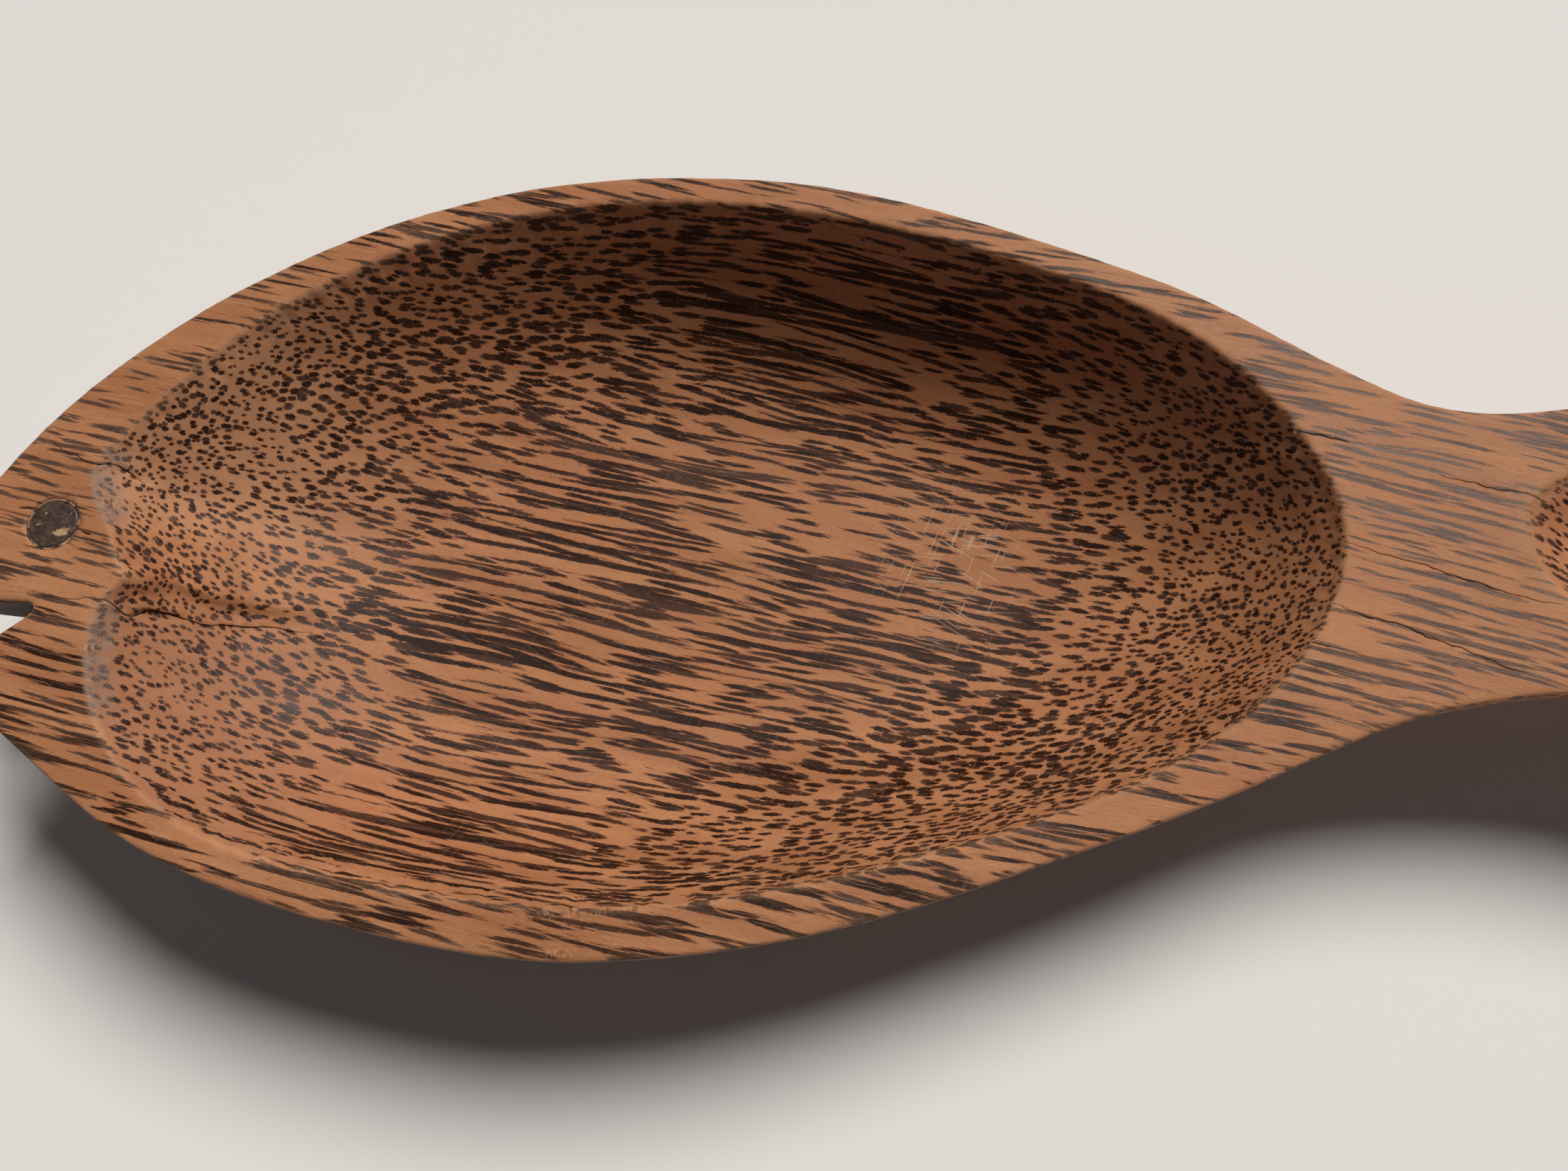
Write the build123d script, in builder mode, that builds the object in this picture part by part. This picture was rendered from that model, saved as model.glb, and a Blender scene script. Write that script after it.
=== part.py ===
"""Fish-shaped dish carved from one board of palm wood, with an inlaid eye. Millimetres.

+X runs from the snout to the tail, +Y towards the fish's back, +Z up. The origin is the middle of the
bounding box, on the table. The rim is flat, and every hollow is cut down from it.
"""

from build123d import *
import os

# Overall size: the rim outline reaches these distances from the origin
half_length = 159.0
half_width = 61.3
rim_height = 35.0

# Board edge: an upright lip, then a hull that curves in under it to a flat base. The hull and the keel
# stand a little inside the lip and reach up into it.
lip_height = 4.5
hull_centre = (-32.0, 0.0)
base_scale = 0.45
hull_power = 1.4
inner_scale = 0.994
inner_top = 33.0
hull_scales = (base_scale, 0.54, 0.64, 0.74, 0.84, 0.92, 0.98, inner_scale)

# Rim outline of the body, as points in the rim plane
snout_tip = (-half_length, -0.4)
nose_back = [(-155.3, 6.6), (-149.9, 14.7), (-134.0, 32.1), (-114.0, 45.5), (-91.0, 55.5)]
back_top = (-52.0, half_width)
back_fall = [(-14.0, 55.9), (16.0, 43.9), (36.0, 33.7)]
back_shoulder = (56.0, 19.9)
back_shoulder_run = (1.0, -0.66)
belly_bottom = (-56.0, -half_width)
belly_shoulder = (56.0, -33.9)
belly_shoulder_run = (-1.0, -0.28)
belly_fall = [(36.0, -41.1), (6.0, -50.7), (-24.0, -58.4)]
belly_nose = [(-94.0, -54.5), (-124.0, -41.8), (-143.1, -26.5), (-153.5, -16.4)]
hull_end = (81.0, -8.0)

# Stem and forked tail
stem_back_rise = (66.0, 13.8)
stem_back = (81.0, 11.0)
stem_belly_rise = (66.0, -32.0)
stem_belly = (78.0, -31.1)
tail_axis = -10.0
tail_edge = [(105.0, 14.5), (130.0, 24.5), (147.0, 34.3), (154.5, 37.0)]
tail_tip = (half_length, 32.5)
tail_fork_side = (154.0, 10.0)
tail_fork = (150.0, tail_axis)
keel_root = [(40.0, -27.0), (40.0, 7.0)]
keel_scale = 0.74
keel_centre = (95.0, tail_axis)
keel_bottom = 10.0
tail_underside = [(50.0, 17.5), (110.0, 19.5), (half_length + 1, 25.5)]

# Main bowl: two gill lobes at the head meet in a cusp that fades as the bowl gets deeper
bowl_depth = 27.0
bowl_centre = (-32.0, 1.1)
bowl_power = 4.7
bowl_scales = (1.03, 1.0, 0.93, 0.85, 0.75, 0.63, 0.5, 0.36, 0.22)
cusp = (-127.8, -3.0)
cusp_back = (-131.5, 5.4)
cusp_belly = (-130.4, -6.0)
cusp_retreat = 6.2
cusp_drift = 1.5
cusp_fade = 4.0
bowl_back = [
    (-134.9, 13.5), (-130.4, 20.9), (-119.0, 33.0), (-94.0, 48.4), (-49.0, 56.6),
    (-14.0, 50.4), (16.0, 38.5), (38.0, 24.2), (49.0, 8.6),
]
bowl_end = (52.4, -3.9)
bowl_belly = [
    (47.1, -19.5), (31.0, -34.4), (-4.0, -47.6), (-56.0, -54.4), (-94.0, -48.4),
    (-122.1, -35.3), (-130.2, -23.4), (-132.2, -13.9),
]

# Shallow hollow in the tail
tail_hollow_depth = 6.0
tail_hollow_centre = (118.0, tail_axis)
tail_hollow_scales = (1.05, 1.0, 0.93, 0.84, 0.73, 0.6, 0.45, 0.3)
tail_hollow_tip = (77.4, -8.9)
tail_hollow_back = [(79.4, -2.9), (84.0, 0.4), (105.0, 3.8), (128.0, 12.0), (140.0, 17.5)]
tail_hollow_corner = (145.5, 13.5)
tail_hollow_fork = (142.0, tail_axis)
tail_hollow_belly = [(140.0, -37.5), (128.0, -32.0), (105.0, -23.8), (84.0, -19.6), (79.0, -15.4)]

# Open mouth: a wedge cut right through the snout, with a blunt inner end
mouth_inner_back = (-141.6, -6.5)
mouth_inner_belly = (-141.3, -7.6)
mouth_outer_back = (-165.0, -4.6)
mouth_outer_belly = (-165.0, -24.2)

# Inlaid eye: a plug glued into a blind hole
eye_centre = (-140.2, 6.0)
eye_hole_diameter = 8.4
eye_plug_diameter = 7.8
eye_depth = 6.0

# Degrees that each curve's last direction is turned, so that neighbouring curves stay separate edges
joint_turn = 0.05

rim_plane = Plane.XY.offset(rim_height)


def shrink(points, centre, scale):
    """Points moved towards a centre in the rim plane."""
    cx, cy = centre
    return [(cx + scale * (x - cx), cy + scale * (y - cy)) for x, y in points]


def mirrored(point):
    """A point of the tail, reflected across the tail's own axis."""
    return (point[0], 2 * tail_axis - point[1])


def curve(points, start, end):
    """A smooth curve with its directions at both ends, the last one turned a hair to keep edges separate."""
    turned_end = Vector(*end).rotate(Axis.Z, joint_turn)
    Spline(*points, tangents=[start, turned_end], tangent_scalars=[1, 1])


def body_back(scale=1.0):
    """Two curves along the back, from the snout to the shoulder before the stem."""
    nose = [snout_tip, *nose_back, back_top]
    fall = [back_top, *back_fall, back_shoulder]
    curve(shrink(nose, hull_centre, scale), (0, 1), (1, 0))
    curve(shrink(fall, hull_centre, scale), (1, 0), back_shoulder_run)


def body_belly(scale=1.0):
    """Two curves along the belly, from the shoulder before the stem to the snout."""
    fall = [belly_shoulder, *belly_fall, belly_bottom]
    nose = [belly_bottom, *belly_nose, snout_tip]
    curve(shrink(fall, hull_centre, scale), belly_shoulder_run, (-1, 0))
    curve(shrink(nose, hull_centre, scale), (-1, 0), (0, 1))


def fan_outline(scale=1.0):
    """The tail's edge from the stem, round both lobes and the fork, back to the stem."""
    upper = [stem_back, *tail_edge, tail_tip]
    fork = [tail_tip, tail_fork_side, tail_fork, mirrored(tail_fork_side), mirrored(tail_tip)]
    lower = [mirrored(tail_tip), *(mirrored(p) for p in reversed(tail_edge)), stem_belly]
    curve(shrink(upper, keel_centre, scale), (1, 0), (0, -1))
    curve(shrink(fork, keel_centre, scale), (0, -1), (0, -1))
    curve(shrink(lower, keel_centre, scale), (0, -1), (-1, 0))


def bowl_edge(scale):
    """Edge of the bowl at one depth: from the cusp along the back to the end, and home along the belly."""
    fade = scale**cusp_fade
    smooth = 1 - fade
    root = (cusp[0] - cusp_retreat * smooth, cusp[1] - cusp_drift * smooth)
    above = (cusp_back[0] - cusp_retreat / 2 * smooth, cusp_back[1])
    below = (cusp_belly[0] - cusp_retreat / 2 * smooth, cusp_belly[1])
    back = shrink([root, above, *bowl_back, bowl_end], bowl_centre, scale)
    belly = shrink([bowl_end, *bowl_belly, below, root], bowl_centre, scale)
    curve(back, (-fade, 1), (0, -1))
    curve(belly, (0, -1), (fade, 1))


def tail_hollow_edge(scale):
    """Edge of the tail's hollow at one depth: from its tip round both corners, and home again."""
    back = [tail_hollow_tip, *tail_hollow_back, tail_hollow_corner]
    fork = [tail_hollow_corner, tail_hollow_fork, mirrored(tail_hollow_corner)]
    belly = [mirrored(tail_hollow_corner), *tail_hollow_belly, tail_hollow_tip]
    curve(shrink(back, tail_hollow_centre, scale), (0, 1), (0, -1))
    curve(shrink(fork, tail_hollow_centre, scale), (0, -1), (0, -1))
    curve(shrink(belly, tail_hollow_centre, scale), (0, -1), (0, 1))


def carve(edge_at, scales, depth):
    """Cut a dished hollow: its edge shrinks as the depth grows by a power of the scale."""
    sections = []
    for scale in scales:
        level = rim_height - depth * (1 - scale**bowl_power)
        with BuildSketch(Plane.XY.offset(level)) as section:
            with BuildLine():
                edge_at(scale)
            make_face()
        sections.append(section.sketch)
    loft(sections, mode=Mode.SUBTRACT, clean=False)


# Lip: the whole fish outline as a plate just under the rim
with BuildPart() as lip:
    with BuildSketch(rim_plane):
        with BuildLine():
            body_back()
            curve([back_shoulder, stem_back_rise, stem_back], back_shoulder_run, (1, 0))
            fan_outline()
            curve([stem_belly, stem_belly_rise, belly_shoulder], (-1, 0), belly_shoulder_run)
            body_belly()
        make_face()
    extrude(amount=-lip_height, clean=False)

# Hull: the body under the lip, drawn in towards a flat base, with its top let into the lip
with BuildPart() as hull:
    for scale in hull_scales:
        rise = (scale - base_scale) / (1 - base_scale)
        level = (rim_height - lip_height) * rise**hull_power if scale < inner_scale else inner_top
        with BuildSketch(Plane.XY.offset(level)):
            with BuildLine():
                body_back(scale)
                cap = shrink([back_shoulder, hull_end, belly_shoulder], hull_centre, scale)
                curve(cap, back_shoulder_run, belly_shoulder_run)
                body_belly(scale)
            make_face()
    loft(clean=False)

# Keel: the wood under the stem and the tail, with sides that lean in
with BuildPart() as keel:
    for level, scale in ((keel_bottom, keel_scale), (inner_top, inner_scale)):
        with BuildSketch(Plane.XY.offset(level)):
            with BuildLine():
                fan_outline(scale)
                Polyline(*shrink([stem_belly, *keel_root, stem_back], keel_centre, scale))
            make_face()
    loft(ruled=True, clean=False)
    # The underside rises gently from the hull to the end of the tail
    with BuildSketch(Plane.XZ):
        with BuildLine():
            Spline(*tail_underside)
            Polyline(tail_underside[-1], (half_length + 1, rim_height), (0, rim_height), tail_underside[0])
        make_face()
    extrude(amount=half_width, both=True, mode=Mode.INTERSECT, clean=False)

# The board is the three together, with every hollow cut down from the rim
with BuildPart() as dish_body:
    add(lip.part, clean=False)
    add(keel.part, clean=False)
    add(hull.part, clean=False)
    carve(bowl_edge, bowl_scales, bowl_depth)
    carve(tail_hollow_edge, tail_hollow_scales, tail_hollow_depth)
    with BuildSketch():
        with BuildLine():
            Polyline(mouth_outer_back, mouth_inner_back, mouth_inner_belly, mouth_outer_belly, close=True)
        make_face()
    extrude(amount=rim_height, mode=Mode.SUBTRACT, clean=False)
    with Locations(rim_plane * Location(eye_centre)):
        Hole(eye_hole_diameter / 2, depth=eye_depth)
dish_body.part.label = "dish_body"

# Eye: a dark plug, flush with the rim
with BuildPart() as eye_plug:
    with BuildSketch(rim_plane):
        with Locations(eye_centre):
            Circle(eye_plug_diameter / 2)
    extrude(amount=-eye_depth)
eye_plug.part.label = "eye_plug"

# Pale glue and filler between the plug and the wall of its hole
with BuildPart() as eye_glue_line:
    with BuildSketch(rim_plane):
        with Locations(eye_centre):
            Circle(eye_hole_diameter / 2)
            Circle(eye_plug_diameter / 2, mode=Mode.SUBTRACT)
    extrude(amount=-eye_depth)
eye_glue_line.part.label = "eye_glue_line"

os.makedirs("parts", exist_ok=True)
for piece in (dish_body, eye_plug, eye_glue_line):
    export_step(piece.part, f"parts/{piece.part.label}.step")
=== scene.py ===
"""Looks of the fish-shaped palm-wood dish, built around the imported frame.

Shapes are worked out in millimetres in the frame's own axes, and written to Blender in metres.
"""

import math

import bpy
import numpy as np
from mathutils import Matrix, Vector, kdtree, noise
from mathutils.bvhtree import BVHTree
from mathutils.geometry import delaunay_2d_cdt


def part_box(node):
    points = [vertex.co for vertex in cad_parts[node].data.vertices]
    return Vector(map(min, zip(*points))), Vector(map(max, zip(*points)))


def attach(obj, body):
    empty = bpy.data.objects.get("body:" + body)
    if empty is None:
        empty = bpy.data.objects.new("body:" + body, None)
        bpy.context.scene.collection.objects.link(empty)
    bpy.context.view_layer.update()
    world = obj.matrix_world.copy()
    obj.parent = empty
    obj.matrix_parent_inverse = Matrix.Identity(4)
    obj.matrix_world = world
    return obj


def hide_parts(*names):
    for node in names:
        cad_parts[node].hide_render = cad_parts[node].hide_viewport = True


MM = 0.001

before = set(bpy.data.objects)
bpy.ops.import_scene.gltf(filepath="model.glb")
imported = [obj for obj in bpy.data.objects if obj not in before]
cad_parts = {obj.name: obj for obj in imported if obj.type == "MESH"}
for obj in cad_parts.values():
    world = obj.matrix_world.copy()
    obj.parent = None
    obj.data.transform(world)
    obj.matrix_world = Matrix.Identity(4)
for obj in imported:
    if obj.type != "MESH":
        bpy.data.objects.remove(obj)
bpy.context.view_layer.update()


# ---------------------------------------------------------------- measures, in millimetres

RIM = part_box("dish_body")[1][2] / MM
EYE_LOW, EYE_HIGH = (np.array(corner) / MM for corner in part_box("eye_plug"))
EYE = (EYE_LOW + EYE_HIGH)[:2] / 2
PLUG_RADIUS = (EYE_HIGH - EYE_LOW)[0] / 2
HOLE_RADIUS = (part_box("eye_glue_line")[1][0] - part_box("eye_glue_line")[0][0]) / MM / 2

EDGE_STEP = 0.75           # spacing along the edges
TOP_STEP = 0.78            # spacing of the grid over the top
UNDER_STEP = 1.5           # spacing of the grid under the dish
CRACK_STEP = 0.6           # spacing along a crack
CRACK_SHOULDER = 0.13      # how far beside a crack the nearest points of the grid stand
EDGE_ROWS = (0.32, 0.72, 1.25)                             # rows of points beside the edges on top
UNDER_ROWS = (0.6, 1.5)                                    # and under the dish
SIDE_ROWS = (0.07, 0.16, 0.28, 0.45, 0.64, 0.82, 0.93)     # shares of the side wall's height
ROW_RATIO = 0.866          # spacing of a triangular grid's rows to that of its points
HOLE_SIDES = 40
PLUG_SIDES = 96
GLUE_SIDES = 120
EYE_STEP = 0.14            # spacing of the grid on the eye
EYE_EDGE = 0.34            # radius of the plug's rounded edge
LIP_HEIGHT = 4.5           # height of the upright lip round the board
SINK = 0.985               # the blind hole's floor is a little narrower than its mouth
ABOVE, BELOW = 20, -20     # where rays towards the board start, from the rim and from the table
ON_EDGE = 1e-4             # a point nearer than this to an edge is on it
SEAT = 0.05                # what lies lower than this is the flat seat under the dish
EDGE_ROUNDS = 60           # how often the lower edge is evened out
TAIL_FROM = 60.0           # where along the dish the tail begins

# Fine drying cracks, from the tail end of the bowl along the grain, and across the head
CRACKS = [
    [(51.6, -7.7), (56.0, -9.6), (61.0, -11.4), (68.0, -14.4), (75.0, -17.4), (80.5, -19.0)],
    [(48.4, -16.8), (52.0, -18.6), (56.0, -19.9), (63.0, -23.4), (69.0, -26.4), (73.5, -28.5)],
    [(44.6, -22.2), (47.4, -23.1)],
    [(47.6, 10.2), (51.0, 9.1), (55.4, 7.5)],
    [(66.5, 1.8), (73.0, -0.4), (78.0, -1.9), (82.9, -3.2)],
    [(-143.0, 19.9), (-138.0, 17.1), (-135.0, 15.6), (-133.5, 16.0), (-130.7, 15.0), (-128.9, 13.4)],
    [(-140.5, -5.7), (-134.0, -6.4), (-130.4, -6.7), (-129.0, -8.4), (-127.2, -7.2), (-120.5, -7.7),
     (-112.5, -7.0), (-105.6, -7.9)],
    [(-146.4, 9.2), (-143.4, 8.4)],
    [(-135.9, 4.5), (-133.6, 3.9)],
]
CRACK_HALF_WIDTHS = (0.11, 0.11, 0.08, 0.09, 0.09, 0.09, 0.12, 0.2, 0.18)
CRACK_DEPTH = 0.6

# Crest of the ridge between the two lobes at the head of the bowl
RIDGE = [(-131.0, -2.6), (-127.8, -3.0), (-124.0, -2.1), (-120.0, -3.3), (-112.4, -4.0), (-105.2, -3.9)]

# Spots where fibres were torn out of the bowl's edge and the outer edge: x, y, half length, half width, depth
TORN = [
    (-63.5, -54.9, 2.2, 0.8, 0.14), (-59.2, -54.8, 1.6, 0.9, 0.2), (-55.4, -54.6, 1.8, 0.7, 0.14),
    (-51.0, -54.6, 1.3, 0.6, 0.1), (-131.9, -13.9, 0.9, 1.3, 0.25), (-132.6, 9.6, 1.0, 1.5, 0.25),
    (36.8, -41.0, 1.2, 0.8, 0.25), (-92.0, 55.4, 1.3, 0.8, 0.25), (-61.0, -60.2, 2.6, 0.7, 0.15),
]

# Grey bloom on the upper wall at the head of the bowl: x, y, radius
BLOOM = [(-133.0, 12.0, 5.5), (-131.5, -12.0, 5.0), (-132.0, -19.0, 5.0), (-134.0, 8.0, 3.0)]

# Sets of fibres that together fill the board: degrees turned in plan, degrees dipped, shift, spacing, radius
FIBRE_SETS = (
    (-2.6, 3.4, 3.1, 1.58, 0.32), (0.4, -2.6, 17.7, 1.66, 0.35), (3.2, 4.6, 41.3, 1.74, 0.32),
)
GRAIN_ANGLE = 16.0         # degrees from the dish's length to the board's grain
EYE_GRAIN_ANGLE = 24.0
SCRATCH_ANGLES = (38.0, -63.0, 8.0)
SCRATCH_PATCH = (-0.0013, -0.0003, 0.0082)     # metres: the middle of the scratched patch on the bowl's floor

# The photographer's place and aim, in metres, and the lens
CAMERA_PLACE = (-0.02159, -0.06446, 0.20563)
CAMERA_RIGHT = (0.99787, -0.03689, -0.05393)
CAMERA_FORWARD = (-0.0402, 0.3040, -0.9518)
SENSOR_WIDTH = 36.0
LENS = 28.33
FLOOR_REACH, FLOOR_LEVEL = 8.0, -0.0001        # metres: the floor lies a hair under the dish


# ---------------------------------------------------------------- small maths

def smooth(low, high, value):
    """0 below low, 1 above high, and a smooth rise between them."""
    t = np.clip((np.asarray(value, float) - low) / (high - low), 0.0, 1.0)
    return t * t * (3.0 - 2.0 * t)


def ripple(points, wavelength, seed):
    """Gentle noise from -1 to 1 at each point."""
    shift = Vector((seed * 17.3, seed * 5.1, seed * 9.7))
    return np.array([noise.noise(Vector(p) / wavelength + shift) for p in points])


def along(points, step, closed):
    """Points a step apart on a smooth curve through the given ones."""
    points = np.asarray(points, float)
    extra = 3 if closed else 0
    if closed:
        points = np.vstack([points[-extra:], points, points[:extra + 1]])
    reach = np.concatenate([[0.0], np.cumsum(np.linalg.norm(np.diff(points, axis=0), axis=1))])
    slope = np.gradient(points, reach, axis=0)
    first, last = reach[extra], reach[len(reach) - 1 - extra]
    count = max(2, int(round((last - first) / step)))
    at = np.linspace(first, last, count + 1)
    if closed:
        at = at[:-1]
    left = np.clip(np.searchsorted(reach, at, side="right") - 1, 0, len(reach) - 2)
    span = (reach[left + 1] - reach[left])[:, None]
    t = (at - reach[left])[:, None] / span
    return (points[left] * (2 * t**3 - 3 * t**2 + 1) + slope[left] * span * (t**3 - 2 * t**2 + t)
            + points[left + 1] * (3 * t**2 - 2 * t**3) + slope[left + 1] * span * (t**3 - t**2))


def even_loop(loop, step, corner=math.radians(26)):
    """A closed loop resampled a step apart, smooth between its corners and sharp at them."""
    before = loop - np.roll(loop, 1, axis=0)
    after = np.roll(loop, -1, axis=0) - loop
    cross = before[:, 0] * after[:, 1] - before[:, 1] * after[:, 0]
    turn = np.abs(np.arctan2(cross, (before * after).sum(axis=1)))
    corners = np.nonzero(turn > corner)[0]
    if not len(corners):
        return along(loop, step, True)
    loop = np.roll(loop, -corners[0], axis=0)
    corners = list(corners - corners[0]) + [len(loop)]
    loop = np.vstack([loop, loop[:1]])
    runs = [along(loop[a:b + 1], step, False)[:-1] for a, b in zip(corners, corners[1:])]
    return np.vstack(runs)


def side_of(loop):
    """Unit vectors to the left of a closed loop's direction."""
    ahead = np.roll(loop, -1, axis=0) - np.roll(loop, 1, axis=0)
    ahead /= np.linalg.norm(ahead, axis=1)[:, None]
    return np.column_stack([-ahead[:, 1], ahead[:, 0]])


def distance_to(points, targets):
    """Distance in plan from each point to the nearest target."""
    tree = kdtree.KDTree(len(targets))
    for i, (x, y) in enumerate(targets):
        tree.insert((x, y, 0.0), i)
    tree.balance()
    return np.array([tree.find((p[0], p[1], 0.0))[2] for p in points])


def distance_to_line(points, line):
    """Distance in plan from each point to a line of segments, and how far along the line that is, 0 to 1."""
    best = np.full(len(points), 1e9)
    where = np.zeros(len(points))
    for k, (a, b) in enumerate(zip(line, line[1:])):
        t = np.clip(((points - a) @ (b - a)) / ((b - a) @ (b - a)), 0.0, 1.0)
        gap = np.linalg.norm(points - a - t[:, None] * (b - a), axis=1)
        nearer = gap < best
        best[nearer] = gap[nearer]
        where[nearer] = (k + t[nearer]) / (len(line) - 1)
    return best, where


def neighbours(count, tris):
    """Every edge as a pair of index arrays, both ways, and each vertex's number of neighbours."""
    pairs = np.vstack([tris[:, [0, 1]], tris[:, [1, 2]], tris[:, [2, 0]]])
    pairs = np.unique(np.vstack([pairs, pairs[:, ::-1]]), axis=0)
    degree = np.maximum(np.bincount(pairs[:, 0], minlength=count), 1)
    return pairs[:, 0], pairs[:, 1], degree


def relax(values, links, weight, rounds):
    """Values moved towards the mean of their neighbours, by a weight at each vertex."""
    here, there, degree = links
    values = np.array(values, float)
    flat = values.ndim == 1
    if flat:
        values = values[:, None]
    for _ in range(rounds):
        for k in range(values.shape[1]):
            mean = np.bincount(here, weights=values[there, k], minlength=len(values)) / degree
            values[:, k] += weight * (mean - values[:, k])
    return values[:, 0] if flat else values


class Scatter:
    """Points in the plane, where a new one is left out when it is too near an old one."""

    def __init__(self, cell=1.6):
        self.cell = cell
        self.points = []
        self.cells = {}

    def add(self, points, gap=0.0):
        """Add the points that keep the gap from older ones, and return their indices."""
        first = len(self.points)
        for x, y in points:
            i, j = int(x // self.cell), int(y // self.cell)
            if gap and any(
                (x - px) ** 2 + (y - py) ** 2 < gap * gap
                for ci in (i - 1, i, i + 1) for cj in (j - 1, j, j + 1)
                for px, py in self.cells.get((ci, cj), ())
            ):
                continue
            self.points.append((float(x), float(y)))
            self.cells.setdefault((i, j), []).append((float(x), float(y)))
        return list(range(first, len(self.points)))


def hexagons(low, high, step):
    """A triangular grid of points over a rectangle."""
    rows = []
    for j, y in enumerate(np.arange(low[1], high[1], step * ROW_RATIO)):
        x = np.arange(low[0] + (j % 2) * step / 2, high[0], step)
        rows.append(np.column_stack([x, np.full(len(x), y)]))
    return np.vstack(rows)


def inside(points, loop):
    """Which points lie inside a closed loop."""
    result = np.zeros(len(points), bool)
    x, y = points[:, 0], points[:, 1]
    for (ax, ay), (bx, by) in zip(loop, np.roll(loop, -1, axis=0)):
        if ay != by:
            crosses = (ay > y) != (by > y)
            result ^= crosses & (x < (bx - ax) * (y - ay) / (by - ay) + ax)
    return result


def ring_edges(indices):
    """The edges that join indices into a closed ring."""
    return list(zip(indices, indices[1:] + indices[:1]))


def triangulate(scatter, edges, outline):
    """The points, the triangles inside an outline, and the new index of each scattered point."""
    out = delaunay_2d_cdt([Vector(p) for p in scatter.points], edges, [], 0, 1e-6, True)
    points = np.array([v[:] for v in out[0]])
    tris = np.array(out[2])
    renumbered = {old: new for new, olds in enumerate(out[3]) for old in olds}
    tris = tris[inside(points[tris].mean(axis=1), outline)]
    a, b, c = (points[tris[:, k]] for k in range(3))
    area = (b[:, 0] - a[:, 0]) * (c[:, 1] - a[:, 1]) - (b[:, 1] - a[:, 1]) * (c[:, 0] - a[:, 0])
    tris[area < 0] = tris[area < 0][:, ::-1]
    tris = tris[np.abs(area) > 1e-9]
    return points, tris, renumbered


def stitch(rows):
    """Triangles of the wall between closed rows of points, from the top row down."""
    faces = []
    for upper, lower in zip(rows, rows[1:]):
        after_upper, after_lower = np.roll(upper, -1), np.roll(lower, -1)
        faces.append(np.column_stack([upper, lower, after_upper]))
        faces.append(np.column_stack([after_upper, lower, after_lower]))
    return faces


def circle(sides, turn=1):
    """Unit vectors round a circle, and their angles."""
    angles = np.linspace(0, turn * 2 * math.pi, sides + 1)[:-1]
    return np.column_stack([np.cos(angles), np.sin(angles)]), angles


# ---------------------------------------------------------------- the board

def cad_arrays(node):
    """A CAD node's corner points, merged, and its triangles."""
    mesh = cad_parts[node].data
    mesh.calc_loop_triangles()
    points = np.array([v.co[:] for v in mesh.vertices]) / MM
    tris = np.array([t.vertices[:] for t in mesh.loop_triangles])
    _, first, merged = np.unique(np.round(points, 3), axis=0, return_index=True, return_inverse=True)
    return points[first], merged.reshape(-1)[tris]


def rim_loops(points, tris):
    """The closed edges of the flat rim, longest first."""
    flat = tris[(points[tris][:, :, 2] > RIM - 0.01).all(axis=1)]
    edges = {(int(t[k]), int(t[(k + 1) % 3])) for t in flat for k in range(3)}
    follow = {a: b for a, b in edges if (b, a) not in edges}
    loops = []
    while follow:
        start = at = min(follow)
        loop = []
        while at in follow:
            loop.append(at)
            at = follow.pop(at)
        assert at == start
        loops.append(points[loop][:, :2])
    return sorted(loops, key=lambda loop: -np.linalg.norm(np.diff(loop, axis=0), axis=1).sum())


def cast(tree, points, height, direction):
    """The height of the CAD surface above or below each point, or nan where there is none."""
    heights = np.full(len(points), np.nan)
    for i, (x, y) in enumerate(points):
        hit = tree.ray_cast(Vector((x, y, height)), Vector((0, 0, direction)))[0]
        if hit is not None:
            heights[i] = hit.z
    return heights


def crack_lines():
    """The cracks as wandering lines."""
    lines = []
    for k, line in enumerate(CRACKS):
        fine = along(line, CRACK_STEP, False)
        ahead = np.gradient(fine, axis=0)
        across = np.column_stack([-ahead[:, 1], ahead[:, 0]]) / np.linalg.norm(ahead, axis=1)[:, None]
        spots = np.column_stack([fine, np.full(len(fine), 3.0 * k)])
        drift = 0.45 * ripple(spots, 2.7, 1) + 0.3 * ripple(spots, 1.2, 2)
        lines.append((fine + across * drift[:, None], across))
    return lines


def top_plan(outline, bowl, tail, lines):
    """Points and triangles over the top, with the outline's indices among them."""
    hole = EYE + HOLE_RADIUS * circle(HOLE_SIDES, turn=-1)[0]
    top = Scatter()
    outline_ids = top.add(outline)
    edges = ring_edges(outline_ids)
    for loop in (bowl, tail, hole, EYE + SINK * (hole - EYE)):
        edges += ring_edges(top.add(loop))
    for (line, across), half in zip(lines, CRACK_HALF_WIDTHS):
        body = line[1:-1]
        width = half * np.sqrt(np.sin(np.pi * np.linspace(0, 1, len(line))[1:-1]))[:, None]
        middle = top.add(line)
        edges += list(zip(middle, middle[1:]))
        for sign in (-1, 1):
            rail = [middle[0], *top.add(body + sign * across[1:-1] * width), middle[-1]]
            edges += list(zip(rail, rail[1:]))
        for sign in (-1, 1):
            top.add(body + sign * across[1:-1] * (width + CRACK_SHOULDER), gap=0.07)
    for distance in EDGE_ROWS:
        for loop, signs in ((bowl, (1, -1)), (tail, (1, -1)), (outline, (1,))):
            for sign in signs:
                row = loop + sign * distance * side_of(loop)
                top.add(row[inside(row, outline)], gap=0.27)
    grid = hexagons(outline.min(axis=0), outline.max(axis=0), TOP_STEP)
    spots = np.column_stack([grid, grid[:, 0]])
    grid += 0.1 * TOP_STEP * np.column_stack([ripple(spots, 1.7, seed) for seed in (3, 4)])
    top.add(grid[inside(grid, outline)], gap=0.55)
    plan, tris, renumbered = triangulate(top, edges, outline)
    return plan, tris, [renumbered[i] for i in outline_ids]


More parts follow.
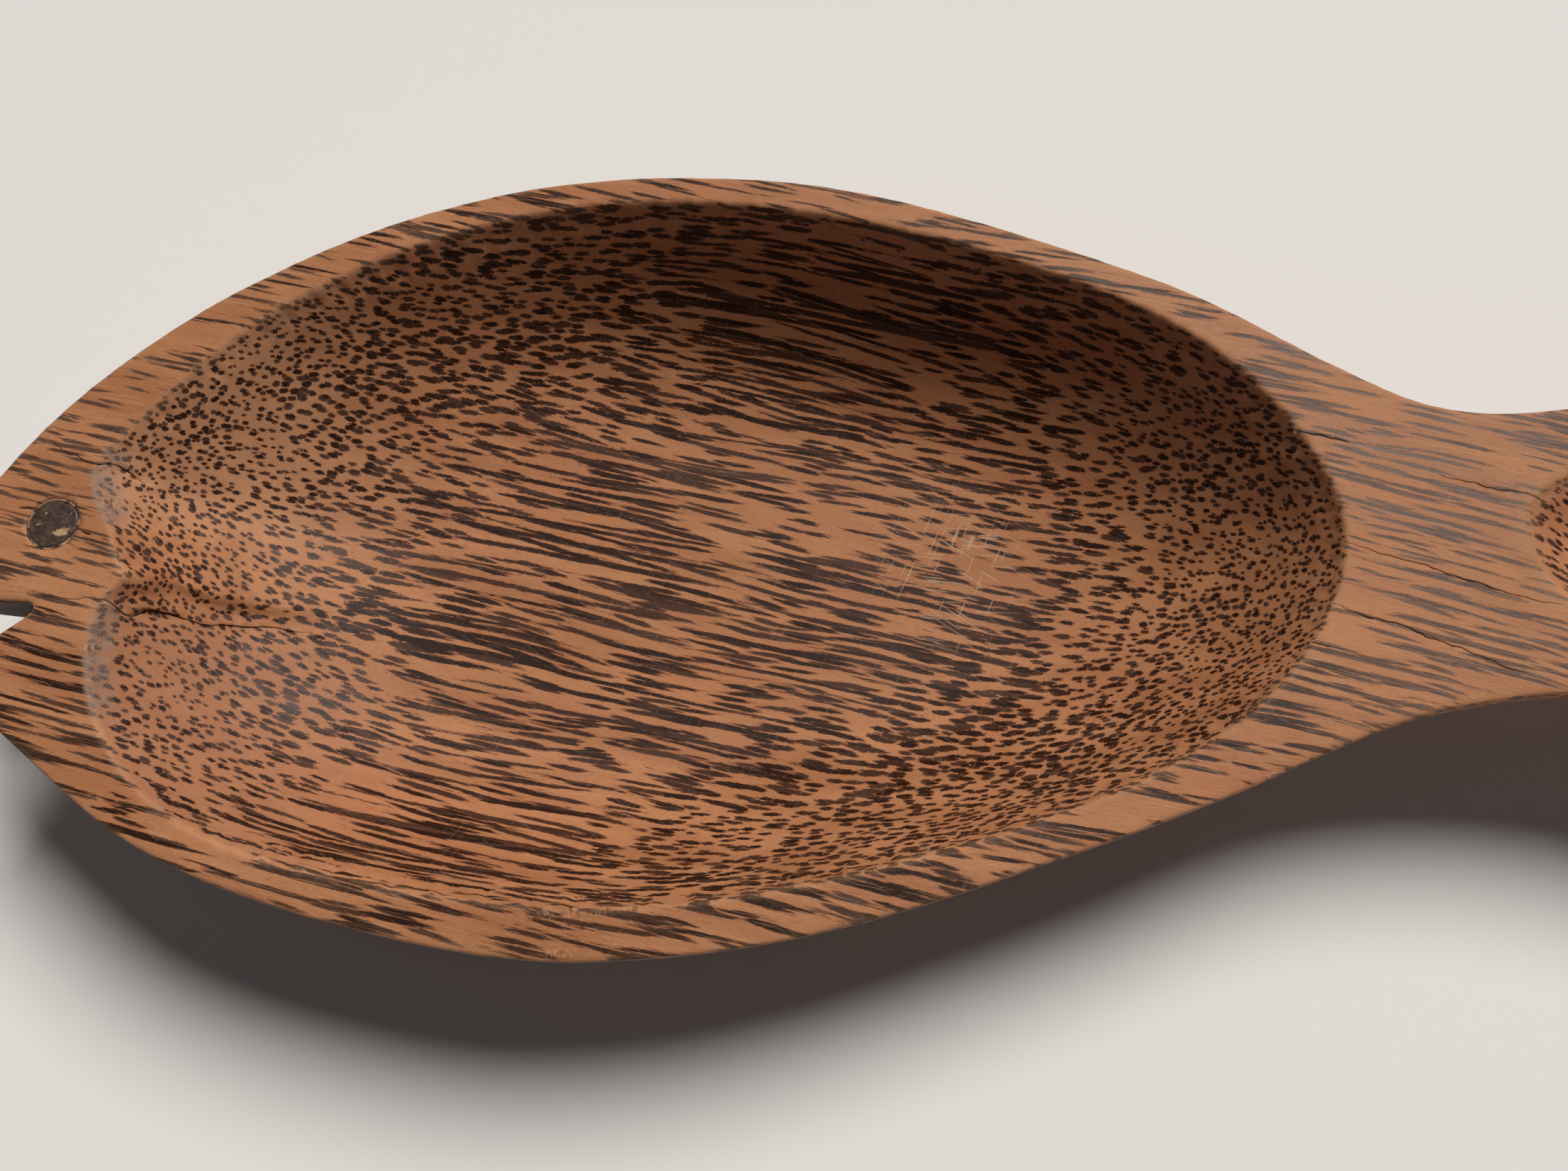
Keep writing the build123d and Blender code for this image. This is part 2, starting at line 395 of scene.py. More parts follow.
def top_heights(tree, plan, tris, to_outline, to_bowl, to_tail):
    """Heights of the top from the CAD surface, worn and worked by hand, and which points lie in a hollow."""
    z = cast(tree, plan, RIM + ABOVE, -1)
    to_hollow = np.minimum(to_bowl, to_tail)
    from_eye = np.linalg.norm(plan - EYE, axis=1)
    in_hole = from_eye < 0.99 * HOLE_RADIUS
    on_edge = (to_hollow < ON_EDGE) | (to_outline < ON_EDGE) | (np.abs(from_eye - HOLE_RADIUS) < 0.02)
    z[on_edge | np.isnan(z)] = RIM

    # The CAD surface's facets are relaxed away
    links = neighbours(len(plan), tris)
    hollow = (z < RIM - 0.02) & ~in_hole
    z = relax(z, links, 0.5 * hollow * smooth(0.5, 2.6, to_hollow), 34)

    # The bowl's edge is rounded by wear, most at the head and along the back, least at the tail end
    wear = 0.35 + 0.4 * smooth(30, -110, plan[:, 0]) + 0.25 * smooth(10, 45, plan[:, 1])
    wear = np.clip(wear + 0.3 * ripple(np.column_stack([plan, z]), 9.0, 5), 0.15, 1.0)
    z = relax(z, links, 0.5 * wear * (1 - smooth(0.35, 1.4, to_hollow)) * ~in_hole, 7)

    # Hand work: a faint swell left by the scraper, in the bowl and on the rim
    spots = np.column_stack([plan, z])
    swell = 0.13 * ripple(spots, 15.0, 6) + 0.05 * ripple(spots, 5.0, 7)
    rim_swell = -0.07 + 0.07 * ripple(spots, 24.0, 8)
    z += np.where(in_hole, 0.0, np.where(hollow, swell * smooth(0.0, 6.0, to_hollow), rim_swell))

    # The ridge between the lobes of the head is steep on its belly side
    ahead = np.interp(plan[:, 0], [x for x, _ in RIDGE], [y for _, y in RIDGE])
    below = np.clip(ahead - plan[:, 1], 0, None)
    flank = (below / 2.0) * np.exp(1 - below / 2.0) * smooth(-131.0, -127.0, plan[:, 0])
    flank *= 1 - smooth(-121.0, -103.0, plan[:, 0])
    z -= np.where(hollow, 1.6 * flank * smooth(0.0, 1.6, to_hollow), 0.0)
    return z, hollow


def crack_shares(plan, lines):
    """How far each point is into a crack, from 0 beside it to 1 at its bottom."""
    crack = np.zeros(len(plan))
    for (line, _), half in zip(lines, CRACK_HALF_WIDTHS):
        gap, where = distance_to_line(plan, line)
        share = np.sqrt(np.clip(np.sin(np.pi * where), 0, 1))
        crack = np.maximum(crack, share * np.clip(1 - gap / np.maximum(half * share, 0.02), 0, 1))
    return crack


def underside(tree, ring):
    """Points, triangles and heights of the underside, and the indices of the ring it shares with the wall."""
    under = Scatter()
    under_ring = under.add(ring)
    for distance in UNDER_ROWS:
        row = ring + distance * side_of(ring)
        under.add(row[inside(row, ring)], gap=0.5)
    grid = hexagons(ring.min(axis=0), ring.max(axis=0), UNDER_STEP)
    under.add(grid[inside(grid, ring)], gap=0.9)
    plan, tris, renumbered = triangulate(under, ring_edges(under_ring), ring)
    ring_ids = [renumbered[i] for i in under_ring]
    inward = ring + 0.25 * side_of(ring)
    z = cast(tree, plan, BELOW, 1)
    z[ring_ids] = cast(tree, inward, BELOW, 1)
    z[np.isnan(z)] = RIM - LIP_HEIGHT

    # The lower edge is evened out along the ring, and the underside follows it
    edge_z = z[ring_ids]
    for _ in range(EDGE_ROUNDS):
        edge_z = 0.5 * edge_z + 0.25 * (np.roll(edge_z, 1) + np.roll(edge_z, -1))
    z[ring_ids] = edge_z
    loose = 0.5 * (z >= SEAT)
    loose[ring_ids] = 0.0
    z = relax(z, neighbours(len(plan), tris), loose, 14)

    # Marks of the rasp, everywhere but on the flat seat
    spots = np.column_stack([plan, z])
    rasp = 0.16 * (1 + ripple(spots, 11.0, 9)) + 0.08 * (1 + ripple(spots, 4.0, 10))
    z += rasp * smooth(SEAT, 1.5, z)
    return plan, tris, z, ring_ids


def board_mesh():
    """The dish as one closed mesh with worn edges, cracks and torn spots: vertices, triangles and layers."""
    cad_points, cad_tris = cad_arrays("dish_body")
    tree = BVHTree.FromPolygons([Vector(p) for p in cad_points], cad_tris.tolist())
    outline, bowl, tail = (even_loop(loop, EDGE_STEP) for loop in rim_loops(cad_points, cad_tris)[:3])
    lines = crack_lines()
    plan, tris, rim_ids = top_plan(outline, bowl, tail, lines)
    top_count = len(plan)
    to_outline, to_bowl, to_tail = (distance_to(plan, loop) for loop in (outline, bowl, tail))
    to_hollow = np.minimum(to_bowl, to_tail)
    z, hollow = top_heights(tree, plan, tris, to_outline, to_bowl, to_tail)

    # Cracks, and spots where fibres were torn out
    crack = crack_shares(plan, lines)
    z -= CRACK_DEPTH * crack
    torn = np.zeros(top_count)
    for x, y, long, wide, depth in TORN:
        spot = 1 - smooth(0.5, 1.1, np.hypot((plan[:, 0] - x) / long, (plan[:, 1] - y) / wide))
        torn = np.maximum(torn, spot)
        z -= depth * spot * (to_outline > ON_EDGE)

    # The side wall joins the outline on top to the same outline under the dish
    ring = plan[rim_ids]
    low_plan, low_tris, low_z, low_ring = underside(tree, ring)
    count = len(ring)
    ring_top, ring_low = z[rim_ids], low_z[low_ring]
    walls = [np.column_stack([ring, ring_top + share * (ring_low - ring_top)]) for share in SIDE_ROWS]
    fresh = np.setdiff1d(np.arange(len(low_plan)), low_ring)
    offset = top_count + len(walls) * count
    low_rows = offset + len(fresh) + np.arange(count)
    number = np.zeros(len(low_plan), int)
    number[fresh] = offset + np.arange(len(fresh))
    number[low_ring] = low_rows
    points = np.vstack([
        np.column_stack([plan, z]), *walls,
        np.column_stack([low_plan[fresh], low_z[fresh]]), np.column_stack([ring, ring_low]),
    ])
    wall_rows = [top_count + k * count + np.arange(count) for k in range(len(walls))]
    rows = [np.array(rim_ids), *wall_rows, low_rows]
    faces = np.vstack([tris, number[low_tris][:, ::-1], *stitch(rows)])

    # The outer edges are rounded by wear, unevenly
    total = len(points)
    depth_below = RIM - points[:, 2]
    near = np.zeros(total)
    near[:top_count] = 1 - smooth(0.5, 2.2, to_outline)
    row_shares = (0.0, *SIDE_ROWS, 1.0)
    for row, share in zip(rows, row_shares):
        low_edge = 0.75 * smooth(0.7, 0.95, share)
        near[row] = np.maximum(1 - smooth(0.8, 2.6, share * (RIM - ring_low)), low_edge)
    uneven = np.clip(0.62 + 0.5 * ripple(points, 13.0, 11), 0.25, 1.0)
    held = np.ones(total)
    held[:top_count] = crack < 0.01
    points = relax(points, neighbours(total, faces), 0.5 * near * uneven * held, 9)

    # Layers for the material: worn edges, bloom, cracks, torn spots, and the depth below the rim plane
    worn = np.zeros(total)
    spots = np.column_stack([plan, z])
    patches = 0.5 + 0.5 * ripple(spots, 6.0, 12) + 0.35 * ripple(spots, 1.6, 13)
    worn[:top_count] = (1 - smooth(0.05, 1.0, np.minimum(to_hollow, to_outline))) * np.clip(patches, 0, 1)
    tail_lip = (1 - smooth(0.6, 3.0, to_hollow)) * (plan[:, 0] > TAIL_FROM) * np.clip(0.4 + patches, 0, 1)
    worn[:top_count] = np.maximum(worn[:top_count], 0.9 * tail_lip)
    for row, share in zip(rows, row_shares):
        worn[row] = (1 - smooth(0.0, 1.6, share * (RIM - ring_low))) * np.clip(patches[rim_ids], 0, 1)
    bloom = np.zeros(top_count)
    for x, y, radius in BLOOM:
        reach = np.hypot(plan[:, 0] - x, (plan[:, 1] - y) * 0.6)
        bloom += (1 - smooth(0.5 * radius, radius, reach)) * (1 - smooth(1.2, 3.4, to_bowl))
    clouds = 0.7 + 0.9 * ripple(spots, 2.3, 14) + 0.5 * ripple(spots, 0.9, 15)
    bloom *= (hollow | (to_bowl < 0.5)) * np.clip(clouds, 0, 1)
    pad = np.zeros(total - top_count)
    layers = {
        "worn": np.clip(worn, 0, 1), "bloom": np.append(np.clip(bloom, 0, 1), pad),
        "crack": np.append(crack, pad), "torn": np.append(torn, pad), "depth": depth_below,
    }
    return points, faces, layers


def add_object(name, data):
    """A new object in the scene."""
    made = bpy.data.objects.new(name, data)
    bpy.context.scene.collection.objects.link(made)
    return made


def add_mesh(name, points, faces, material, layers):
    """A smooth-shaded mesh object from millimetre points, with a number at each vertex for each layer."""
    mesh = bpy.data.meshes.new(name)
    mesh.from_pydata((points * MM).tolist(), [], faces.tolist())
    mesh.polygons.foreach_set("use_smooth", [True] * len(mesh.polygons))
    for layer, values in layers.items():
        mesh.attributes.new(layer, "FLOAT", "POINT").data.foreach_set("value", np.asarray(values, np.float32))
    mesh.materials.append(material)
    mesh.update()
    return add_object(name, mesh)


# ---------------------------------------------------------------- materials

class Shader:
    """A material whose nodes are made by short calls, each taking numbers or other nodes' outputs."""

    def __init__(self, name):
        self.material = bpy.data.materials.new(name)
        self.material.use_nodes = True
        self.tree = self.material.node_tree
        self.tree.nodes.clear()

    def feed(self, socket, value):
        """Link the socket to a node's output, or set its value."""
        if isinstance(value, bpy.types.NodeSocket):
            self.tree.links.new(value, socket)
        else:
            socket.default_value = value

    def node(self, kind, settings=None, **inputs):
        """A new node with its settings and inputs."""
        made = self.tree.nodes.new("ShaderNode" + kind)
        for key, value in (settings or {}).items():
            setattr(made, key, value)
        for key, value in inputs.items():
            self.feed(made.inputs[key.replace("_", " ")], value)
        return made

    def math(self, operation, *values):
        """One operation on numbers."""
        made = self.node("Math", {"operation": operation})
        for socket, value in zip(made.inputs, values):
            self.feed(socket, value)
        return made.outputs[0]

    def add(self, a, b):
        return self.math("ADD", a, b)

    def times(self, a, b):
        return self.math("MULTIPLY", a, b)

    def flip(self, value):
        """1 minus the value."""
        return self.math("SUBTRACT", 1.0, value)

    def parts(self, vector):
        """The three parts of a vector or a colour."""
        return self.node("SeparateXYZ", Vector=vector).outputs[:]

    def vector(self, x, y, z):
        return self.node("CombineXYZ", X=x, Y=y, Z=z).outputs[0]

    def rise(self, value, low, high, to_low=0.0, to_high=1.0):
        """A smooth rise from to_low to to_high as the value goes from low to high."""
        made = self.node("MapRange", {"interpolation_type": "SMOOTHSTEP"}, Value=value, From_Min=low,
                         From_Max=high, To_Min=to_low, To_Max=to_high)
        return made.outputs[0]

    def noise(self, vector, detail=2.0, roughness=0.5, output="Fac"):
        """Soft noise, about one spot to each unit of the vector."""
        made = self.node("TexNoise", Vector=vector, Scale=1.0, Detail=detail, Roughness=roughness)
        return made.outputs[output]

    def streaks(self, place, long, across, detail=2.0, roughness=0.5, output="Fac"):
        """Noise drawn out along the grain, with its length and its width in millimetres."""
        u, v, w = place
        vector = self.vector(self.times(u, 1 / long), self.times(v, 1 / across), self.times(w, 1 / across))
        return self.noise(vector, detail, roughness, output)

    def mix(self, factor, a, b):
        """Colour a where the factor is 0 and colour b where it is 1."""
        made = self.node("Mix", {"data_type": "RGBA"})
        self.feed(made.inputs[0], factor)
        self.feed(made.inputs[6], a)
        self.feed(made.inputs[7], b)
        return made.outputs[2]

    def layer(self, name):
        """A number that the mesh carries at each vertex."""
        return self.node("Attribute", {"attribute_type": "GEOMETRY", "attribute_name": name}).outputs["Fac"]

    def finish(self, color, roughness, specular=0.5, height=None, bump=1.0):
        """The surface, with a bump from a height in millimetres where there is one."""
        surface = self.node("BsdfPrincipled", Base_Color=color, Roughness=roughness,
                            Specular_IOR_Level=specular)
        if height is not None:
            made = self.node("Bump", Strength=bump, Distance=MM, Height=height)
            self.feed(surface.inputs["Normal"], made.outputs[0])
        self.node("OutputMaterial", Surface=surface.outputs[0])
        return self.material


def rgb(red, green, blue):
    """An opaque colour, linear."""
    return (red, green, blue, 1.0)


def grain_coordinates(s, angle):
    """Millimetres along the grain, across it in the board's plane, and up."""
    place = s.node("TexCoord").outputs["Object"]
    turned = s.node("Mapping", Vector=place, Rotation=(0, 0, math.radians(angle)), Scale=(1000, 1000, 1000))
    return s.parts(turned.outputs[0])


def wandering_grain(s):
    """Grain coordinates of the board: the grain wanders, and turns a little more towards the tail."""
    u, v, w = straight = grain_coordinates(s, GRAIN_ANGLE)
    slow = s.parts(s.streaks(straight, 62, 26, 1.0, 0.4, "Color"))
    quick = s.parts(s.streaks(straight, 17, 9, 1.0, 0.5, "Color"))
    past = s.math("MAXIMUM", s.add(u, -35.0), 0.0)
    turn = s.times(s.times(past, past), 0.0011)
    v = s.add(s.add(v, s.times(slow[0], 4.6)), s.add(s.times(quick[0], 0.9), turn))
    w = s.add(s.add(w, s.times(slow[1], 5.2)), s.times(quick[1], 1.1))
    return u, v, w


def crowding(s, place, below, on_rim):
    """What a place on the dish adds to the radius of its fibres.

    Fibres are thickest under the middle of the bowl and towards the belly, and thin out at the head and back.
    """
    x, y, _ = place
    middle = s.times(s.rise(x, -122.0, -84.0), s.rise(x, 36.0, 6.0))
    sides = s.add(s.rise(y, 20.0, -40.0, 0.0, 0.042), s.rise(y, 22.0, 42.0, 0.0, 0.06))
    rich = s.add(s.times(s.rise(below, 3.0, 20.0), 0.058), s.times(sides, s.flip(on_rim)))
    back = s.times(s.times(s.rise(y, 0.0, 45.0), on_rim), -0.06)
    poor = s.add(back, s.rise(x, -84.0, -118.0, 0.0, -0.028))
    front = s.times(s.times(s.rise(y, -8.0, -34.0), on_rim), s.rise(x, 30.0, -10.0, 0.0, 0.06))
    return s.add(s.times(middle, rich), s.add(poor, front))


def fibres(s, grain, ragged):
    """How deep a point lies inside a fibre, below 0 outside, and a random number for each fibre."""
    u, v, w = grain
    core = shade = None
    for turn, dip, shift, spacing, radius in FIBRE_SETS:
        across = s.add(v, s.times(u, math.tan(math.radians(turn))))
        upward = s.add(w, s.times(u, math.tan(math.radians(dip))))
        cell = s.node("TexVoronoi", {"voronoi_dimensions": "2D"}, Scale=1 / spacing, Randomness=0.9,
                      Vector=s.vector(s.add(across, shift), s.add(upward, 2.3 * shift), 0.0))
        draw = s.parts(cell.outputs["Color"])
        size = s.add(radius, s.times(s.add(draw[0], -0.5), 0.2))
        depth = s.add(s.add(size, ragged), s.times(cell.outputs["Distance"], -spacing))
        if core is None:
            core, shade = depth, draw[1]
        else:
            deeper = s.math("GREATER_THAN", depth, core)
            shade = s.add(s.times(deeper, draw[1]), s.times(s.flip(deeper), shade))
            core = s.math("MAXIMUM", core, depth)
    return core, shade


def mouth_painted_shade(s, place, below):
    """How much painted shade darkens the walls of the mouth notch, more the deeper they lie."""
    x, y, _ = place
    mouth = s.times(s.rise(x, -140.4, -141.2), s.rise(y, -3.0, -4.2))
    mouth = s.times(mouth, s.rise(s.add(y, s.times(x, -0.7)), 90.2, 91.0))
    return s.times(mouth, s.rise(below, 0.3, 2.0, 0.0, 0.85))


def scratch_marks(s):
    """Fine scratches in a few directions, clearest in one patch on the bowl's floor."""
    scratches = None
    for angle in SCRATCH_ANGLES:
        u, v, _ = grain_coordinates(s, angle)
        line = s.rise(s.noise(s.vector(s.times(u, 1 / 9), s.times(v, 1 / 0.42), angle), 0.0), 0.70, 0.74)
        scratches = line if scratches is None else s.math("MAXIMUM", scratches, line)
    away = s.node("VectorMath", {"operation": "DISTANCE"}, Vector=s.node("TexCoord").outputs["Object"])
    away.inputs[1].default_value = SCRATCH_PATCH
    near = s.rise(away.outputs["Value"], 0.017, 0.004, 0.1, 1.0)
    return s.times(scratches, s.times(near, 0.55))


def palm_wood():
    """Palm wood: dark fibre bundles run along the grain through a lighter ground, and show in every cut."""
    s = Shader("palm_wood")
    grain = wandering_grain(s)
    x, y, z = place = grain_coordinates(s, 0.0)
    below = s.layer("depth")
    on_rim = s.rise(below, 0.9, 0.1)
    off_rim = s.flip(on_rim)

    # Fine lines along the grain, used for ragged fibre edges and for the ground
    hair = s.streaks(grain, 4.5, 0.16, 2.0, 0.6)
    fuzz = s.streaks(grain, 0.9, 0.2, 2.0, 0.6)
    crowd = s.streaks(grain, 30, 9, 1.0)
    ragged = s.add(s.times(s.add(hair, -0.5), 0.62), s.times(s.add(fuzz, -0.5), 0.24))
    ragged = s.add(ragged, s.times(s.add(crowd, -0.5), 0.36))
    core, shade = fibres(s, grain, s.add(ragged, crowding(s, place, below, on_rim)))

    # Ground: warm brown, banded and flecked along the grain
    bands = s.streaks(grain, 40, 7, 3.0, 0.55)
    patch = s.streaks(grain, 26, 17, 2.0)
    flecks = s.streaks(grain, 1.1, 0.28, 3.0, 0.65)
    ground = s.mix(s.rise(bands, 0.3, 0.7), rgb(0.36, 0.148, 0.064), rgb(0.47, 0.212, 0.098))
    ground = s.mix(s.times(s.rise(patch, 0.5, 0.75), 0.4), ground, rgb(0.45, 0.165, 0.072))
    ground = s.mix(s.times(s.rise(flecks, 0.5, 0.8), 0.5), ground, rgb(0.20, 0.075, 0.035))
    ground = s.mix(s.times(s.rise(hair, 0.52, 0.8), 0.4), ground, rgb(0.22, 0.085, 0.042))

    # The head of the bowl is paler in its upper lobe, and its lower lobe is darkened with painted shade
    head = s.times(s.rise(x, -84.0, -114.0), off_rim)
    ground = s.mix(s.times(head, s.rise(y, 2.0, 16.0, 0.0, 0.4)), ground, rgb(0.54, 0.30, 0.17))
    # Painted shade: the lower lobe of the head is darkened
    ground = s.mix(s.times(head, s.rise(y, -2.0, -12.0, 0.0, 0.45)), ground, rgb(0.27, 0.118, 0.066))

    # Fibres: a reddish skin round a near-black core, some of them grey, and weathered on the stem and brow
    brow = s.times(s.rise(x, -108.0, -128.0), s.rise(y, -10.0, 2.0, 0.0, 0.6))
    stem = s.times(s.math("MAXIMUM", s.rise(x, 34.0, 58.0), brow), on_rim)
    skin = s.rise(core, -0.1, 0.03)
    heart = s.rise(core, -0.04, 0.08)
    dark = s.mix(s.rise(shade, 0.25, 0.8), rgb(0.016, 0.006, 0.003), rgb(0.046, 0.017, 0.009))
    grey = s.mix(s.rise(fuzz, 0.35, 0.7), rgb(0.058, 0.031, 0.021), rgb(0.120, 0.070, 0.047))
    greyness = s.times(s.rise(shade, 0.55, 0.95), s.rise(crowd, 0.42, 0.62))
    greyness = s.math("MAXIMUM", greyness, s.times(on_rim, s.rise(hair, 0.5, 0.75)))
    greyness = s.math("MAXIMUM", greyness, s.times(s.rise(x, -70.0, -112.0), s.rise(shade, 0.25, 0.8)))
    dark = s.mix(s.times(greyness, s.add(0.36, s.times(on_rim, 0.24))), dark, grey)
    weathered = s.mix(s.rise(hair, 0.4, 0.65), rgb(0.080, 0.043, 0.028), rgb(0.185, 0.100, 0.064))
    dark = s.mix(s.times(stem, 0.85), dark, weathered)
    red = s.mix(s.rise(shade, 0.2, 0.75), rgb(0.135, 0.032, 0.015), rgb(0.225, 0.080, 0.041))
    red = s.mix(s.times(stem, 0.6), red, rgb(0.300, 0.140, 0.075))
    color = s.mix(s.times(skin, 0.8), ground, red)
    color = s.mix(s.times(heart, 0.95), color, dark)
    pale_hair = s.times(s.rise(s.streaks(grain, 14, 0.22, 1.0, 0.5), 0.6, 0.72), s.times(on_rim, 0.3))
    color = s.mix(pale_hair, color, rgb(0.56, 0.315, 0.165))

    # Wear and age: paler edges, grey bloom, torn spots, dark cracks and fine scratches, and painted shade on
    # the walls of the mouth
    worn, bloom, torn, crack = (s.layer(name) for name in ("worn", "bloom", "torn", "crack"))
    color = s.mix(s.times(worn, s.rise(fuzz, 0.25, 0.75, 0.12, 0.45)), color, rgb(0.44, 0.26, 0.15))
    color = s.mix(s.times(bloom, s.rise(fuzz, 0.35, 0.7, 0.35, 0.9)), color, rgb(0.205, 0.150, 0.122))
    grit = s.noise(s.vector(s.times(x, 1 / 0.5), s.times(y, 1 / 0.9), s.times(z, 1 / 0.5)), 2.0, 0.6)
    color = s.mix(s.times(torn, s.rise(grit, 0.5, 0.62)), color, rgb(0.17, 0.065, 0.034))
    color = s.mix(s.times(torn, s.rise(grit, 0.45, 0.34, 0.0, 0.6)), color, rgb(0.52, 0.29, 0.16))
    color = s.mix(s.rise(crack, 0.05, 0.6), color, rgb(0.018, 0.008, 0.005))
    # Painted shade: the mouth's walls are darkened deep down, where they lie in shadow
    color = s.mix(mouth_painted_shade(s, place, below), color, rgb(0.026, 0.011, 0.006))
    scratches = scratch_marks(s)
    color = s.mix(scratches, color, rgb(0.56, 0.40, 0.27))

    roughness = s.add(s.rise(bands, 0.3, 0.7, 0.5, 0.62), s.times(heart, -0.09))
    roughness = s.add(roughness, s.times(worn, 0.1))
    height = s.add(s.times(s.rise(core, -0.1, 0.12), -0.022), s.times(hair, 0.03))
    height = s.add(height, s.add(s.times(flecks, 0.018), s.times(scratches, -0.02)))
    height = s.add(height, s.times(torn, s.times(grit, 0.35)))
    return s.finish(color, roughness, specular=0.17, height=height, bump=0.8)


def eye_wood():
    """A dense dark plug, faintly mottled, with one pale chip of glue and wood and a few marks."""
    s = Shader("eye_wood")
    grain = grain_coordinates(s, EYE_GRAIN_ANGLE)
    mottle = s.streaks(grain, 1.6, 0.9, 4.0, 0.6)
    fine = s.streaks(grain, 0.5, 0.14, 3.0, 0.6)
    color = s.mix(s.rise(mottle, 0.35, 0.7), rgb(0.040, 0.024, 0.018), rgb(0.095, 0.060, 0.045))
    color = s.mix(s.times(s.rise(fine, 0.5, 0.75), 0.5), color, rgb(0.135, 0.090, 0.068))
    chip = s.layer("chip")
    tan = s.mix(s.rise(fine, 0.35, 0.65), rgb(0.30, 0.165, 0.080), rgb(0.56, 0.37, 0.20))
    color = s.mix(s.rise(s.add(chip, s.times(s.add(fine, -0.5), 0.5)), 0.3, 0.6), color, tan)
    color = s.mix(s.times(s.layer("mark"), 0.8), color, rgb(0.42, 0.29, 0.20))
    roughness = s.add(s.rise(mottle, 0.3, 0.7, 0.38, 0.5), s.times(chip, 0.2))
    height = s.add(s.times(mottle, 0.03), s.times(fine, 0.02))
    return s.finish(color, roughness, specular=0.45, height=height, bump=0.7)


def glue():
    """Dried glue and sawdust between the plug and its hole, in places worn away and dark."""
    s = Shader("glue")
    place = grain_coordinates(s, 0.0)
    grit = s.streaks(place, 0.35, 0.35, 4.0, 0.65)
    gaps = s.streaks(place, 2.2, 2.2, 2.0)
    color = s.mix(s.rise(grit, 0.35, 0.7), rgb(0.22, 0.115, 0.062), rgb(0.44, 0.28, 0.165))
    color = s.mix(s.rise(gaps, 0.44, 0.54), color, rgb(0.060, 0.030, 0.018))
    roughness = s.rise(grit, 0.3, 0.7, 0.6, 0.8)
    return s.finish(color, roughness, specular=0.3, height=s.times(grit, 0.06), bump=0.9)


# ---------------------------------------------------------------- eye

def plug_radius(angle):
    """The plug isn't quite round: it is flattened at its lower right."""
    wobble = 0.05 * np.sin(3 * angle + 0.7) + 0.04 * np.sin(5 * angle - 1.1)
    flat = 0.16 * np.exp(-((np.angle(np.exp(1j * (angle + 0.75)))) / 0.5) ** 2)
    return PLUG_RADIUS - 0.1 + wobble - flat


def eye_mesh():
    """The plug: a slightly domed top with a chip and marks, rounded edge and straight side."""
    ways, angles = circle(PLUG_SIDES)
    outer = plug_radius(angles)[:, None] * ways
    plan = Scatter(cell=0.4)
    ring = plan.add(outer)
    for distance in (0.08, 0.2, EYE_EDGE):
        plan.add(outer * (1 - distance / PLUG_RADIUS), gap=0.05)
    grid = hexagons((-PLUG_RADIUS,) * 2, (PLUG_RADIUS,) * 2, EYE_STEP)
    grid = grid[np.linalg.norm(grid, axis=1) < plug_radius(np.arctan2(grid[:, 1], grid[:, 0])) - 0.42]
    plan.add(grid, gap=0.1)
    points, tris, renumbered = triangulate(plan, ring_edges(ring), outer)
    ring = [renumbered[i] for i in ring]
    edge = plug_radius(np.arctan2(points[:, 1], points[:, 0])) - np.linalg.norm(points, axis=1)
    height = RIM - 0.02 - 0.22 * (1 - np.sqrt(1 - (1 - np.clip(edge / EYE_EDGE, 0, 1)) ** 2))
    spots = np.column_stack([points, points[:, 0]])
    height += -0.03 + 0.025 * ripple(spots, 1.3, 20)

    def patch(x, y, long, wide, degrees, ragged):
        """1 inside an oval with a ragged edge."""
        cos, sin = math.cos(math.radians(degrees)), math.sin(math.radians(degrees))
        dx, dy = points[:, 0] - x, points[:, 1] - y
        reach = np.hypot((dx * cos + dy * sin) / long, (dy * cos - dx * sin) / wide)
        return 1 - smooth(0.75, 1.1, reach + ragged * ripple(spots, 0.45, 21))

    chip = patch(1.55, -1.35, 1.35, 0.66, 6, 0.35)
    mark = np.maximum.reduce([
        patch(-1.3, 1.8, 0.24, 0.2, 0, 0.3), patch(-2.2, 0.1, 0.42, 0.12, 8, 0.4),
        patch(-2.5, -2.6, 0.62, 0.07, 28, 0.2), patch(2.6, 1.5, 0.3, 0.08, 60, 0.2),
    ])
    height -= 0.14 * chip + 0.03 * mark
    top = np.column_stack([points + EYE, height])
    count = len(ring)
    floor = EYE_LOW[2]
    levels = [(RIM - 0.7, 0.0), (RIM - 2.5, 0.02), (floor + 0.3, 0.05), (floor, 0.25)]
    walls = [np.column_stack([EYE + outer * (1 - inset / PLUG_RADIUS), np.full(count, level)])
             for level, inset in levels]
    bottom = np.array([[EYE[0], EYE[1], floor]])
    vertices = np.vstack([top, *walls, bottom])
    rows = [np.array(ring)] + [len(top) + k * count + np.arange(count) for k in range(len(levels))]
    last = np.full(count, len(vertices) - 1)
    faces = np.vstack([tris, *stitch(rows), np.column_stack([rows[-1], last, np.roll(rows[-1], -1)])])
    pad = np.zeros(len(vertices) - len(top))
    return vertices, faces, {"chip": np.append(chip, pad), "mark": np.append(mark, pad)}


